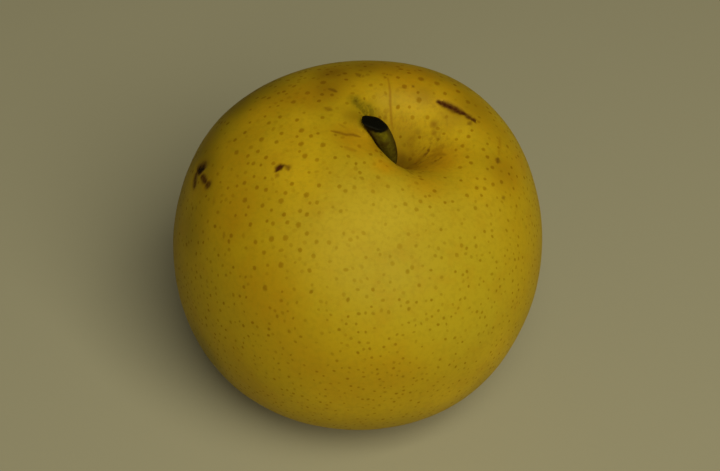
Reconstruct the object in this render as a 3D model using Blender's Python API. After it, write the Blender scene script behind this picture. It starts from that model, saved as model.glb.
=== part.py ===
"""A nashi pear with its short cut stalk, at its real size, resting on a small flat spot.

The fruit is one solid, described by a rule in its own frame: +Z runs up its core line, towards the
stalk, and a point of the skin is found by its polar angle from the top and its turn about the core.
It then leans to one side, as it lay, and the centre of its flat spot becomes the origin.
"""

import math

import bmesh
import bpy
from mathutils import Matrix, Vector
from mathutils.geometry import interpolate_bezier

MM = 0.001

# Body: half a width, two half heights and how full the shoulders are (2 is an ellipse)
WAIST_RADIUS = 44.4 * MM
TOP_REACH = 39.7 * MM
BASE_REACH = 40.8 * MM
FULLNESS = 2.23

# Low swellings round the waist: how many, how much of the radius, and the turn of the first
LOBES = (
    (2, 0.007, math.radians(-75)),
    (3, 0.012, math.radians(42)),
    (4, 0.006, math.radians(-27)),
)

# A lopsided fruit: one shoulder stands high, the base is cut away below the leaning side,
# and the core line ends off centre at both ends
HIGH_SHOULDER = 9.5 * MM
HIGH_SHOULDER_TURN = math.radians(28)
BASE_RISE = 12.0 * MM
BASE_RISE_TURN = math.radians(-9)
STALK_END_OFFSET = Vector((-0.4, 4.0, 0.0)) * MM
CALYX_END_OFFSET = Vector((2.0, 0.0, 0.0)) * MM

# Stem cavity: a funnel, steep on the near side and open on the other, with a flat seat for the stalk
CAVITY_DEPTH = 18.5 * MM
CAVITY_WIDTH = 6.0 * MM
CAVITY_FLARE = 1.1
CAVITY_OPEN_TURN = math.radians(-30)
CAVITY_OPENNESS = 0.4
CAVITY_NARROWNESS = 0.2
CAVITY_END = math.cos(math.radians(60))
SEAT_RADIUS = 2.4 * MM

# Calyx basin and the scar that the fallen flower leaves in it
BASIN_DEPTH = 5.0 * MM
BASIN_WIDTH = 9.5 * MM
BASIN_FLARE = 2.2
SCAR_DEPTH = 1.3 * MM
SCAR_RADIUS = 3.2 * MM
SCAR_FLARE = 4.0

# Stalk: a bent path from the seat to the cut end, and its half thickness along that path
STALK_LIFT = 0.75 * MM
STALK_START_PULL = Vector((0.9, -0.5, 4.5)) * MM
STALK_END_PULL = Vector((6.0, 0.1, -6.6)) * MM
STALK_TIP = Vector((-7.6, 0.25, 37.35)) * MM
STALK_RADIUS = 1.5 * MM
STALK_FOOT_SWELL = 0.4 * MM
STALK_FOOT_LENGTH = 0.12
STALK_CLUB_SWELL = 0.65 * MM
STALK_CLUB_START = 0.55
STALK_RIDGES = 5
STALK_RIDGE_HEIGHT = 0.04
STALK_CUT_SLANT = 1.16
STALK_SLANT_GROWTH = 5
STALK_CUT_BEVEL = 0.25 * MM

# How the fruit lies
LEAN = math.radians(17.6)
LEAN_TURN = math.radians(-9)
SPOT_DEPTH = 0.6 * MM

# Facets
SEGMENTS = 72
RINGS = 60
POLE_CROWDING = 0.62
STALK_SIDES = 20
STALK_RINGS = 20


def clear_scene():
    for thing in list(bpy.data.objects):
        bpy.data.objects.remove(thing)


def make_material(name, colour, roughness):
    material = bpy.data.materials.new(name)
    material.use_nodes = True
    shader = material.node_tree.nodes["Principled BSDF"]
    shader.inputs["Base Color"].default_value = (*colour, 1.0)
    shader.inputs["Roughness"].default_value = roughness
    shader.inputs["Metallic"].default_value = 0.0
    return material


def ease(way):
    """Go smoothly from 0 to 1 while the way goes from 0 to 1."""
    way = min(max(way, 0.0), 1.0)
    return way * way * (3.0 - 2.0 * way)


def waist_at(turn):
    swelling = sum(part * math.cos(count * (turn - first)) for count, part, first in LOBES)
    return WAIST_RADIUS * (1.0 + swelling)


def cavity_depth(radius, turn, along):
    """The funnel round the stalk, faded out before the waist."""
    away = turn - CAVITY_OPEN_TURN
    width = CAVITY_WIDTH * (1.0 + CAVITY_OPENNESS * math.cos(away) + CAVITY_NARROWNESS * math.cos(2.0 * away))
    past_seat = max(radius - SEAT_RADIUS, 0.0)
    return CAVITY_DEPTH * math.exp(-((past_seat / width) ** CAVITY_FLARE)) * ease(along / CAVITY_END)


def basin_depth(radius):
    basin = BASIN_DEPTH * math.exp(-((radius / BASIN_WIDTH) ** BASIN_FLARE))
    scar = SCAR_DEPTH * math.exp(-((radius / SCAR_RADIUS) ** SCAR_FLARE))
    return basin + scar


def skin_point(polar, turn):
    """A point of the skin in the fruit's own frame."""
    across, along = math.sin(polar), math.cos(polar)
    top = along > 0.0
    reach = TOP_REACH if top else BASE_REACH
    fullness = (across / waist_at(turn)) ** FULLNESS + (abs(along) / reach) ** FULLNESS
    distance = fullness ** (-1.0 / FULLNESS)
    radius, height = distance * across, distance * along
    near_pole = along * along
    if top:
        rise = HIGH_SHOULDER * math.cos(turn - HIGH_SHOULDER_TURN)
        height -= cavity_depth(radius, turn, along)
        offset = STALK_END_OFFSET
    else:
        rise = BASE_RISE * math.cos(turn - BASE_RISE_TURN)
        height += basin_depth(radius)
        offset = CALYX_END_OFFSET
    height += rise * near_pole * radius / WAIST_RADIUS
    return Vector((radius * math.cos(turn), radius * math.sin(turn), height)) + offset * near_pole


def ring_polar(step):
    """Polar angles crowd towards both poles, where the cavity and the basin curve most."""
    part = step / RINGS
    return math.pi * part - POLE_CROWDING * math.sin(2.0 * math.pi * part) / 2.0


def close_with_fan(mesh, ring, centre):
    pole = mesh.verts.new(centre)
    for first, second in zip(ring, ring[1:] + ring[:1]):
        mesh.faces.new((first, second, pole))


def join_rings(mesh, rings):
    for upper, lower in zip(rings, rings[1:]):
        for here in range(len(upper)):
            there = (here + 1) % len(upper)
            mesh.faces.new((upper[here], lower[here], lower[there], upper[there]))


def lean_matrix():
    turned = Matrix.Rotation(LEAN_TURN, 4, "Z")
    return turned @ Matrix.Rotation(LEAN, 4, "Y") @ turned.inverted()


def cut_flat_spot(mesh):
    """Cut the leaning fruit level, a little above its lowest point, and return the spot's centre."""
    level = min(vertex.co.z for vertex in mesh.verts) + SPOT_DEPTH
    everything = mesh.verts[:] + mesh.edges[:] + mesh.faces[:]
    cut = bmesh.ops.bisect_plane(
        mesh,
        geom=everything,
        dist=0.01 * MM,
        plane_co=(0.0, 0.0, level),
        plane_no=(0.0, 0.0, 1.0),
        clear_inner=True,
    )
    edges = [item for item in cut["geom_cut"] if isinstance(item, bmesh.types.BMEdge)]
    spot = bmesh.ops.edgenet_fill(mesh, edges=edges)["faces"][0]
    for vertex in spot.verts:
        vertex.co.z = level
    return spot.calc_center_median_weighted()


def make_fruit(material):
    """The whole fruit, with the place that its own frame takes as the second result."""
    mesh = bmesh.new()
    rings = []
    for step in range(RINGS):
        polar = ring_polar(step)
        if polar * TOP_REACH < SEAT_RADIUS:
            continue
        turns = [2.0 * math.pi * segment / SEGMENTS for segment in range(SEGMENTS)]
        rings.append([mesh.verts.new(skin_point(polar, turn)) for turn in turns])
    join_rings(mesh, rings)
    close_with_fan(mesh, rings[0], skin_point(0.0, 0.0))
    close_with_fan(mesh, rings[-1][::-1], skin_point(math.pi, 0.0))

    leaning = lean_matrix()
    bmesh.ops.transform(mesh, matrix=leaning, verts=mesh.verts)
    spot_centre = cut_flat_spot(mesh)
    placing = Matrix.Translation(-spot_centre)
    bmesh.ops.transform(mesh, matrix=placing, verts=mesh.verts)
    bmesh.ops.recalc_face_normals(mesh, faces=mesh.faces)
    add_object("fruit", mesh, material)
    return placing @ leaning


def stalk_radius(part):
    foot = STALK_FOOT_SWELL * math.exp(-((part / STALK_FOOT_LENGTH) ** 2))
    club = STALK_CLUB_SWELL * ease((part - STALK_CLUB_START) / (1.0 - STALK_CLUB_START))
    return STALK_RADIUS + foot + club


def ring_axes(along):
    """The axes of a ring that is square to the path, turned the same way all along it."""
    sideways = Vector((0.0, 1.0, 0.0)).cross(along).normalized()
    return Matrix((sideways, along.cross(sideways), along)).transposed()


def make_stalk(material, placing):
    """The woody stalk: rings along a bent path, slightly ridged, with a slanting cut end."""
    start = skin_point(0.0, 0.0) + Vector((0.0, 0.0, STALK_LIFT))
    start_handle = start + STALK_START_PULL
    tip_handle = STALK_TIP + STALK_END_PULL
    path = interpolate_bezier(start, start_handle, tip_handle, STALK_TIP, STALK_RINGS)

    mesh = bmesh.new()
    rings = []
    for step, centre in enumerate(path):
        ahead = path[min(step + 1, STALK_RINGS - 1)]
        behind = path[max(step - 1, 0)]
        axes = ring_axes((ahead - behind).normalized() if step else Vector((0.0, 0.0, 1.0)))
        part = step / (STALK_RINGS - 1)
        slant = STALK_CUT_SLANT * part ** STALK_SLANT_GROWTH
        ring = []
        for side in range(STALK_SIDES):
            angle = 2.0 * math.pi * side / STALK_SIDES
            ridge = 1.0 + STALK_RIDGE_HEIGHT * part * math.cos(STALK_RIDGES * angle)
            radius = stalk_radius(part) * ridge
            around = Vector((radius * math.cos(angle), radius * math.sin(angle), 0.0))
            around.z = -slant * around.x
            ring.append(mesh.verts.new(centre + axes @ around))
        rings.append(ring)
    join_rings(mesh, rings)
    mesh.faces.new(rings[0])
    cut_face = mesh.faces.new(rings[-1][::-1])
    bmesh.ops.recalc_face_normals(mesh, faces=mesh.faces)
    bmesh.ops.bevel(
        mesh,
        geom=list(cut_face.edges),
        offset=STALK_CUT_BEVEL,
        segments=1,
        affect="EDGES",
    )
    stalk = add_object("stalk", mesh, material)
    stalk.matrix_world = placing


def add_object(name, mesh, material):
    data = bpy.data.meshes.new(name)
    mesh.to_mesh(data)
    mesh.free()
    data.materials.append(material)
    data.shade_smooth()
    data.set_sharp_from_angle(angle=math.radians(40))
    thing = bpy.data.objects.new(name, data)
    bpy.context.scene.collection.objects.link(thing)
    return thing


def main():
    clear_scene()
    skin = make_material("pear_skin", (0.50, 0.36, 0.03), 0.45)
    wood = make_material("stalk_wood", (0.05, 0.04, 0.015), 0.70)
    placing = make_fruit(skin)
    make_stalk(wood, placing)


main()
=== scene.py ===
# %% [markdown]
# # A nashi pear on a pale floor
# A nashi is a round pear with thin golden skin, sprinkled with small corky pores called lenticels. This one
# lies tilted, so that the deep hollow round its stalk shows from the front.
#
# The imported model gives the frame: two plain solids, `fruit` and `stalk`, at their real size. The lesson
# grows a finer skin and a finer stalk over them, and gives every surface its finish.

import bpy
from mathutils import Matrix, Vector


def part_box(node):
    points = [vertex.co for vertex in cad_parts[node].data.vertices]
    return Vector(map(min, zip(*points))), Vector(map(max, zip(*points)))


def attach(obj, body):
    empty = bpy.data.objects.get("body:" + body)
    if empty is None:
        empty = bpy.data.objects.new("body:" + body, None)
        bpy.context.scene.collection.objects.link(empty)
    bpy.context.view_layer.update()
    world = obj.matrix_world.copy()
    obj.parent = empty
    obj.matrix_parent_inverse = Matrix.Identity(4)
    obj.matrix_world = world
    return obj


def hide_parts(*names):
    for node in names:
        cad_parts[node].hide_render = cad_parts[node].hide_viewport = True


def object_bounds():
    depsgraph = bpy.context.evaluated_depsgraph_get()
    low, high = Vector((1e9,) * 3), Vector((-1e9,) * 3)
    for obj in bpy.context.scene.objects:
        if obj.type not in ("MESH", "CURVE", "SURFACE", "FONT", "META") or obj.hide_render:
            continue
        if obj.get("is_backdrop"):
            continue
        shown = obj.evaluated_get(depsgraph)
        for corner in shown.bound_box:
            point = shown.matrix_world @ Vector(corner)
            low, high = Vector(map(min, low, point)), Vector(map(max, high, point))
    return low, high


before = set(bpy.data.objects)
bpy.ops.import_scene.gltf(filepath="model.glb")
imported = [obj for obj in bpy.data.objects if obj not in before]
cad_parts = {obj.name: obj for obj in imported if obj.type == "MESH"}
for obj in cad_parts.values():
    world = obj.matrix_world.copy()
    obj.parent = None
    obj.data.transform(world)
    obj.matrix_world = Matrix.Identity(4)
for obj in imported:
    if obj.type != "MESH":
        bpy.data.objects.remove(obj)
cad_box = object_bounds()
for node in sorted(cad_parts):
    low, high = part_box(node)
    print(node, "is", [round(1000 * side, 1) for side in high - low], "mm")

# %% Tools that the lesson uses
import math
from typing import NamedTuple

import bmesh
import bpy
import numpy as np
from mathutils import Matrix, Vector
from mathutils.bvhtree import BVHTree
from mathutils.kdtree import KDTree

MM = 0.001
scene = bpy.context.scene

# %% [markdown]
# ## Writing node trees as sums
# Both the shapes and the finishes below are node trees. A tree drawn by hand is easy to read, but one made
# by a script soon turns into pages of links. So one small class stands for a socket and lets Python's own
# signs add the Math nodes: `1 - mask` is one Subtract node. Sines, noise and mixes are functions of values
# in the same way, and a bench, which holds a tree, adds every other node.


# %% A value on its way through a tree
def maths(operation, swapped=False):
    """A function of values that adds one Math node to their tree."""

    def added(*values):
        values = values[::-1] if swapped else values
        sockets = dict(enumerate(values))
        return bench_of(values).node("ShaderNodeMath", {"operation": operation}, sockets)[0]

    return added


class Value:
    """An output socket that Python's signs work on: each sign adds one Math node to its tree."""

    def __init__(self, bench, socket):
        self.bench = bench
        self.socket = socket

    __add__ = maths("ADD")
    __radd__ = maths("ADD", swapped=True)
    __sub__ = maths("SUBTRACT")
    __rsub__ = maths("SUBTRACT", swapped=True)
    __mul__ = maths("MULTIPLY")
    __rmul__ = maths("MULTIPLY", swapped=True)
    __truediv__ = maths("DIVIDE")
    __pow__ = maths("POWER")
    __gt__ = maths("GREATER_THAN")

    def __neg__(self):
        return self * -1.0


def bench_of(values):
    return next(value.bench for value in values if isinstance(value, Value))


# %% Functions of numbers and of vectors
def vector_maths(operation, output="Vector"):
    """A function of vectors that adds one Vector Math node to their tree."""

    def added(*values):
        sockets = dict(enumerate(values))
        return bench_of(values).node("ShaderNodeVectorMath", {"operation": operation}, sockets)[output]

    return added


cosine, sine, arccosine, arctangent = map(maths, ("COSINE", "SINE", "ARCCOSINE", "ARCTAN2"))
root, exponential, absolute = map(maths, ("SQRT", "EXPONENT", "ABSOLUTE"))
larger, smaller = map(maths, ("MAXIMUM", "MINIMUM"))
vector_sum, vector_gap, crossed = map(vector_maths, ("ADD", "SUBTRACT", "CROSS_PRODUCT"))
unit, tangents = map(vector_maths, ("NORMALIZE", "TANGENT"))
distance_between = vector_maths("DISTANCE", "Value")
dot_product = vector_maths("DOT_PRODUCT", "Value")


def scaled(vector, factor):
    settings = {"operation": "SCALE"}
    return vector.bench.node("ShaderNodeVectorMath", settings, {"Vector": vector, "Scale": factor})["Vector"]


# %% Easing, noise and mixing
def ease(value, start, end, low=0.0, high=1.0):
    """Go smoothly from low to high while the value goes from start to end."""
    sockets = {"Value": value, "From Min": start, "From Max": end, "To Min": low, "To Max": high}
    return value.bench.node("ShaderNodeMapRange", {"interpolation_type": "SMOOTHSTEP"}, sockets)["Result"]


def noise(place, size, detail=2.0, roughness=0.5, output="Fac"):
    """Soft noise from 0 to 1, with patches about as wide as size."""
    sockets = {"Vector": place, "Scale": 1.0 / size, "Detail": detail, "Roughness": roughness}
    return place.bench.node("ShaderNodeTexNoise", {}, sockets)[output]


def grainy(place, size):
    """Noise with finer detail in it."""
    return noise(place, size, 3.0, 0.6)


def wander(place, size, reach):
    """Move a place a little to and fro, so that what is drawn there gets a ragged edge."""
    shift = vector_gap(noise(place, size, output="Color"), (0.5, 0.5, 0.5))
    return vector_sum(place, scaled(shift, 2.0 * reach))


def mix(factor, first, second):
    """A colour between two colours. Colours stay out of the Math nodes, which would turn them grey."""
    settings = {"data_type": "RGBA", "clamp_factor": True}
    first, second = [(*colour, 1.0) if isinstance(colour, tuple) else colour for colour in (first, second)]
    return factor.bench.node("ShaderNodeMix", settings, {0: factor, 6: first, 7: second})[2]


# %% A bench to build a tree on
class Outputs:
    """What a node gives out, by name or by number."""

    def __init__(self, bench, node):
        self.bench = bench
        self.node = node

    def __getitem__(self, key):
        return Value(self.bench, self.node.outputs[key])


class Bench:
    """A node tree under construction."""

    def __init__(self, tree):
        self.tree = tree

    def node(self, kind, settings=None, sockets=None):
        """Add a node: its settings come first, because they can change which sockets it has."""
        made = self.tree.nodes.new(kind)
        for name, setting in (settings or {}).items():
            setattr(made, name, setting)
        for name, given in (sockets or {}).items():
            for value in given if isinstance(given, list) else [given]:
                if isinstance(value, Value):
                    self.tree.links.new(value.socket, made.inputs[name])
                else:
                    made.inputs[name].default_value = value
        return Outputs(self, made)

    def join(self, x, y, z):
        return self.node("ShaderNodeCombineXYZ", {}, {"X": x, "Y": y, "Z": z})["Vector"]

    def split(self, vector):
        parts = self.node("ShaderNodeSeparateXYZ", {}, {"Vector": vector})
        return parts["X"], parts["Y"], parts["Z"]


# %% A geometry tree with named inputs
SOCKET_KINDS = {float: "NodeSocketFloat", int: "NodeSocketInt", bpy.types.Object: "NodeSocketObject"}


class GeometryBench(Bench):
    """A geometry tree whose sizes are named inputs."""

    def __init__(self, name):
        super().__init__(bpy.data.node_groups.new(name, "GeometryNodeTree"))
        self.tree.interface.new_socket("Geometry", in_out="INPUT", socket_type="NodeSocketGeometry")
        self.tree.interface.new_socket("Geometry", in_out="OUTPUT", socket_type="NodeSocketGeometry")
        self.entry = self.node("NodeGroupInput")
        self.chosen = {}

    def ask(self, name, value):
        """Name an input, remember the value that this lesson gives it, and return it as a Value."""
        kind = SOCKET_KINDS.get(type(value), "NodeSocketVector")
        socket = self.tree.interface.new_socket(name, in_out="INPUT", socket_type=kind)
        self.chosen[socket.identifier] = value
        return self.entry[name]

    def place(self):
        return self.node("GeometryNodeInputPosition")["Position"]

    def change(self, kind, geometry, settings=None, **sockets):
        """Add a node that takes a geometry and gives one out."""
        return self.node(kind, settings, {"Geometry": geometry, **sockets})["Geometry"]

    def move(self, geometry, **where):
        """Set Position, by a new Position or by an Offset."""
        return self.change("GeometryNodeSetPosition", geometry, **where)

    def store(self, geometry, name, value):
        """Keep a number on each point, for a later tree or for a material."""
        settings = {"data_type": "FLOAT", "domain": "POINT"}
        return self.change("GeometryNodeStoreNamedAttribute", geometry, settings, Name=name, Value=value)

    def kept(self, name):
        """What was stored under a name."""
        return self.node("GeometryNodeInputNamedAttribute", {"data_type": "FLOAT"}, {"Name": name})[0]

    def points_of(self, points_object):
        """The geometry of another object."""
        return self.node("GeometryNodeObjectInfo", {}, {"Object": points_object})["Geometry"]

    def normal(self):
        return self.node("GeometryNodeInputNormal")["Normal"]

    def smooth(self, geometry, mask=True, domain="FACE"):
        """Shade faces or edges smoothly: all of them, or those that a mask chooses."""
        shading = {"Shade Smooth": mask}
        return self.change("GeometryNodeSetShadeSmooth", geometry, {"domain": domain}, **shading)

    def finish(self, geometry, material):
        """End the tree as an export needs it: real faces with their material."""
        real = self.change("GeometryNodeRealizeInstances", geometry)
        painted = self.change("GeometryNodeSetMaterial", real, Material=material)
        self.node("NodeGroupOutput", {}, {"Geometry": painted})

    def run(self, name, start=None):
        """Run the tree on a start mesh and return an object that holds its result as a plain mesh."""
        piece = bpy.data.objects.new(name, start or bpy.data.meshes.new(name))
        modifier = piece.modifiers.new(self.tree.name, "NODES")
        modifier.node_group = self.tree
        for identifier, value in self.chosen.items():
            modifier[identifier] = value
        scene.collection.objects.link(piece)
        evaluated = piece.evaluated_get(bpy.context.evaluated_depsgraph_get())
        result = bpy.data.meshes.new_from_object(evaluated)
        piece.modifiers.remove(modifier)
        piece.data = result
        result.name = name
        print(name, "has", len(result.vertices), "points and", len(result.polygons), "faces")
        return piece


# %% [markdown]
# ## The skin's shape
# A pear swells evenly from its core, so its skin follows a rule: a rounded body, a funnel at the stalk, a
# basin at the other end, and a lopsided lift at both. Sculpting would lose the rule, and subdividing the
# plain solid would keep its facets. Geometry Nodes can put every point of a fine ball where the rule says.
# The ball is a cube blown round, because a globe of rings would crowd its points at the poles.

# %% Sizes of the fruit
WAIST_RADIUS = 44.4 * MM
TOP_REACH = 39.7 * MM
BASE_REACH = 40.8 * MM
FULLNESS = 2.23
LOBES = ((2, 0.007, math.radians(-75)), (3, 0.012, math.radians(42)), (4, 0.006, math.radians(-27)))

HIGH_SHOULDER = 9.5 * MM
HIGH_SHOULDER_TURN = math.radians(28)
BASE_RISE = 12.0 * MM
BASE_RISE_TURN = math.radians(-9)
STALK_END_OFFSET = Vector((-0.4, 4.0, 0.0)) * MM
CALYX_END_OFFSET = Vector((2.0, 0.0, 0.0)) * MM

CAVITY_DEPTH = 18.5 * MM
CAVITY_WIDTH = 6.0 * MM
CAVITY_FLARE = 1.1
CAVITY_OPEN_TURN = math.radians(-30)
CAVITY_OPENNESS = 0.4
CAVITY_NARROWNESS = 0.2
SEAT_RADIUS = 2.4 * MM
LIP_SWELLING = 2.1 * MM
LIP_TURN = math.radians(-168)
LIP_SPREAD = math.radians(25)
LIP_RADIUS = 9.0 * MM
LIP_WIDTH = 3.0 * MM

BASIN_DEPTH = 5.0 * MM
BASIN_WIDTH = 9.5 * MM
BASIN_FLARE = 2.2
SCAR_DEPTH = 1.3 * MM
SCAR_RADIUS = 3.2 * MM
SCAR_FLARE = 4.0

LEAN = math.radians(17.6)
LEAN_TURN = math.radians(-9)

# %% Sizes that only the fine skin has
BALL_POINTS = 112
POLE_CROWDING = 0.3
CAVITY_END = math.cos(math.radians(60))
CAVITY_FOLDS = (5.0, 0.22 * MM, 2.5 * MM, 9.0 * MM)
BASIN_FOLDS = (5.0, 0.45 * MM, 3.0 * MM, 10.0 * MM)
FOLD_TURN = 0.8
SCAR_ROUGHNESS = 0.5 * MM
SCAR_GRAIN = 0.9 * MM
UNEVENNESS = 0.3 * MM
UNEVEN_PATCH = 13.0 * MM


# %% A fine ball
def blown_cube(bench, points):
    """A cube's faces with equal angles between their points, and the direction of each point."""
    sockets = {"Size": (2.0, 2.0, 2.0), "Vertices X": points, "Vertices Y": points, "Vertices Z": points}
    cube = bench.node("GeometryNodeMeshCube", {}, sockets)["Mesh"]
    angles = scaled(bench.place(), math.pi / 4.0)
    slopes = tangents(angles)
    return cube, unit(slopes)


# %% How deep the funnel and the basin are
def cavity_depth(bench, radius, turn, along):
    """The funnel round the stalk, wider on its open side, and faded out before the waist."""
    away = turn - CAVITY_OPEN_TURN
    openness = cosine(away) * CAVITY_OPENNESS
    narrowness = cosine(away * 2.0) * CAVITY_NARROWNESS
    width = bench.ask("Cavity Width", CAVITY_WIDTH) * (openness + narrowness + 1.0)
    past_seat = larger(radius - bench.ask("Seat Radius", SEAT_RADIUS), 0.0)
    shape = exponential(-((past_seat / width) ** CAVITY_FLARE))
    return bench.ask("Cavity Depth", CAVITY_DEPTH) * shape * ease(along, 0.0, CAVITY_END)


def lip_swelling(bench, radius, turn):
    """A low swelling of the lip, where it leans over the stalk."""
    aside = (1.0 - cosine(turn - LIP_TURN)) * (2.0 / LIP_SPREAD ** 2)
    off = (radius - LIP_RADIUS) / LIP_WIDTH
    return bench.ask("Lip Swelling", LIP_SWELLING) * exponential(-(aside + off * off))


def basin_depth(bench, radius):
    """The shallow basin at the other end, with the round scar that the flower left."""
    basin = exponential(-((radius / BASIN_WIDTH) ** BASIN_FLARE))
    scar = exponential(-((radius / SCAR_RADIUS) ** SCAR_FLARE))
    return bench.ask("Basin Depth", BASIN_DEPTH) * basin + bench.ask("Scar Depth", SCAR_DEPTH) * scar


def soft_folds(radius, turn, count, height, start, end):
    """Folds of a height that run out from the core between two radii."""
    inside = ease(radius, start, 2.0 * start) * ease(radius, end, 2.0 * end, 1.0, 0.0)
    return cosine(turn * count + FOLD_TURN) * inside * height


# %% The rule itself
def skin_place(bench, direction):
    """Where a point of the ball goes, in the fruit's own frame, where +Z runs up its core line."""
    x, y, z = bench.split(direction)
    turn = arctangent(y, x)
    angle = arccosine(z)
    polar = angle - sine(angle * 2.0) * (POLE_CROWDING / 2.0)
    across = sine(polar)
    along = cosine(polar)
    top = along > 0.0
    base = 1.0 - top

    lobes = [cosine((turn - first) * float(count)) * part for count, part, first in LOBES]
    waist = bench.ask("Waist Radius", WAIST_RADIUS) * (sum(lobes) + 1.0)
    reach = bench.ask("Top Reach", TOP_REACH) * top + bench.ask("Base Reach", BASE_REACH) * base
    sideways = (across / waist) ** FULLNESS
    upwards = (absolute(along) / reach) ** FULLNESS
    distance = (sideways + upwards) ** (-1.0 / FULLNESS)
    radius = distance * across

    funnel_folds = soft_folds(radius, turn, *CAVITY_FOLDS)
    basin_folds = soft_folds(radius, turn, *BASIN_FOLDS)
    sunk = cavity_depth(bench, radius, turn, along) + funnel_folds - lip_swelling(bench, radius, turn)
    raised = (basin_depth(bench, radius) + basin_folds) * base

    near_pole = along * along
    shoulder = bench.ask("High Shoulder", HIGH_SHOULDER) * cosine(turn - HIGH_SHOULDER_TURN)
    rise = bench.ask("Base Rise", BASE_RISE) * cosine(turn - BASE_RISE_TURN)
    lift = (shoulder * top + rise * base) * near_pole * radius / WAIST_RADIUS
    height = distance * along - sunk * top + raised + lift

    over = near_pole * (top * STALK_END_OFFSET.x + base * CALYX_END_OFFSET.x)
    back = near_pole * (top * STALK_END_OFFSET.y + base * CALYX_END_OFFSET.y)
    place_x = cosine(turn) * radius + over
    place_y = sine(turn) * radius + back
    return bench.join(place_x, place_y, height), radius, base


# %% Grow the skin
def grow_skin(material):
    """The whole skin by its rule, then a little unevenness, and a rough floor in the scar."""
    bench = GeometryBench("skin_rule")
    ball, direction = blown_cube(bench, bench.ask("Points a Side", BALL_POINTS))
    place, radius, base = skin_place(bench, direction)
    in_scar = ease(radius, 0.5 * SCAR_RADIUS, 1.3 * SCAR_RADIUS, 1.0, 0.0) * base
    skin = bench.store(bench.move(ball, Position=place), "in_scar", in_scar)

    here = bench.place()
    broad = (noise(here, UNEVEN_PATCH, 1.0) - 0.5) * bench.ask("Unevenness", UNEVENNESS)
    grain = (noise(here, SCAR_GRAIN) - 0.5) * bench.ask("Scar Roughness", SCAR_ROUGHNESS)
    shift = broad + grain * bench.kept("in_scar")
    uneven = bench.move(skin, Offset=scaled(bench.normal(), shift))
    bench.finish(bench.smooth(uneven), material)
    return bench.run("pear_skin")


pear_skin_finish = bpy.data.materials.new("golden_skin")
skin = grow_skin(pear_skin_finish)

# %% [markdown]
# ## Laying the fruit down
# The rule is written upright, but the real pear leans, and its weight rests it on a small flat spot. The
# plain solid already lies that way. So the fine skin gets the same lean, is set against the solid's box,
# and whatever would dip below the floor is pressed flat.


# %% Lean, place and settle
def lean_matrix():
    turned = Matrix.Rotation(LEAN_TURN, 4, "Z")
    return turned @ Matrix.Rotation(LEAN, 4, "Y") @ turned.inverted()


def corners(mesh):
    places = np.empty(3 * len(mesh.vertices), np.float32)
    mesh.vertices.foreach_get("co", places)
    places = places.reshape(-1, 3)
    return Vector(map(float, places.min(0))), Vector(map(float, places.max(0)))


skin.data.transform(lean_matrix())
skin_low, skin_high = corners(skin.data)
fruit_low, fruit_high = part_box("fruit")
core = (fruit_low + fruit_high - skin_low - skin_high) / 2.0
core.z = fruit_high.z - skin_high.z
placing = Matrix.Translation(core)
skin.data.transform(placing)
for vertex in skin.data.vertices:
    vertex.co.z = max(vertex.co.z, 0.0)
print("the middle of the core is at", [round(1000 * part, 2) for part in core], "mm")

# %% [markdown]
# ## The camera
# The pear was photographed from the front, looking down at about 40 degrees. A long lens from 42 cm away
# gives the picture's gentle perspective. The camera is placed so that the middle of the core falls on its
# pixel, and the same numbers turn a pixel back into a ray, which later finds where each mark sits.

# %% The view of the photograph
PICTURE = Vector((720.0, 471.0))
FOCAL_PIXELS = 1735.0
CAMERA_DISTANCE = 420.0 * MM
CAMERA_LIFT = math.radians(40)
CORE_PIXEL = Vector((358.1, 246.0))
SENSOR_WIDTH = 36.0

sight_right = Vector((1.0, 0.0, 0.0))
sight_up = Vector((0.0, math.sin(CAMERA_LIFT), math.cos(CAMERA_LIFT)))
sight_back = sight_right.cross(sight_up)


def pixel_direction(pixel):
    """The direction of a pixel's ray, with a length of 1 along the line of sight."""
    offset = (Vector(pixel) - PICTURE / 2.0) / FOCAL_PIXELS
    return sight_right * offset.x - sight_up * offset.y - sight_back


camera_place = core - pixel_direction(CORE_PIXEL) * CAMERA_DISTANCE
camera = bpy.data.objects.new("camera", bpy.data.cameras.new("camera"))
camera.data.sensor_width = SENSOR_WIDTH
camera.data.lens = FOCAL_PIXELS / PICTURE.x * SENSOR_WIDTH
camera.data.clip_start = 0.01
axes = Matrix((sight_right, sight_up, sight_back)).transposed()
camera.matrix_world = Matrix.Translation(camera_place) @ axes.to_4x4()
scene.collection.objects.link(camera)
scene.camera = camera
print("the camera has a", round(camera.data.lens, 1), "mm lens")

# %% [markdown]
# ## Marks on the skin
# The pear has been scratched and bumped on its tree: a long sunken scratch beside the hollow, a black scab
# with two legs on the left shoulder, a small comma between them, and some thin russet lines. Drawing them
# only as colour would leave the skin smooth where the real one is sunken. So each mark is a string of
# points on the skin, found by rays through the picture, and a second tree presses the skin in along them.

# %% What a mark is
class Mark(NamedTuple):
    """A path of pixels, a half width and a depth in mm, and from 0 to 1 how dark, plain and tapered it is."""

    path: tuple
    half_width: float
    depth: float
    dark: float
    plain: float = 1.0
    taper: float = 0.5


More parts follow.
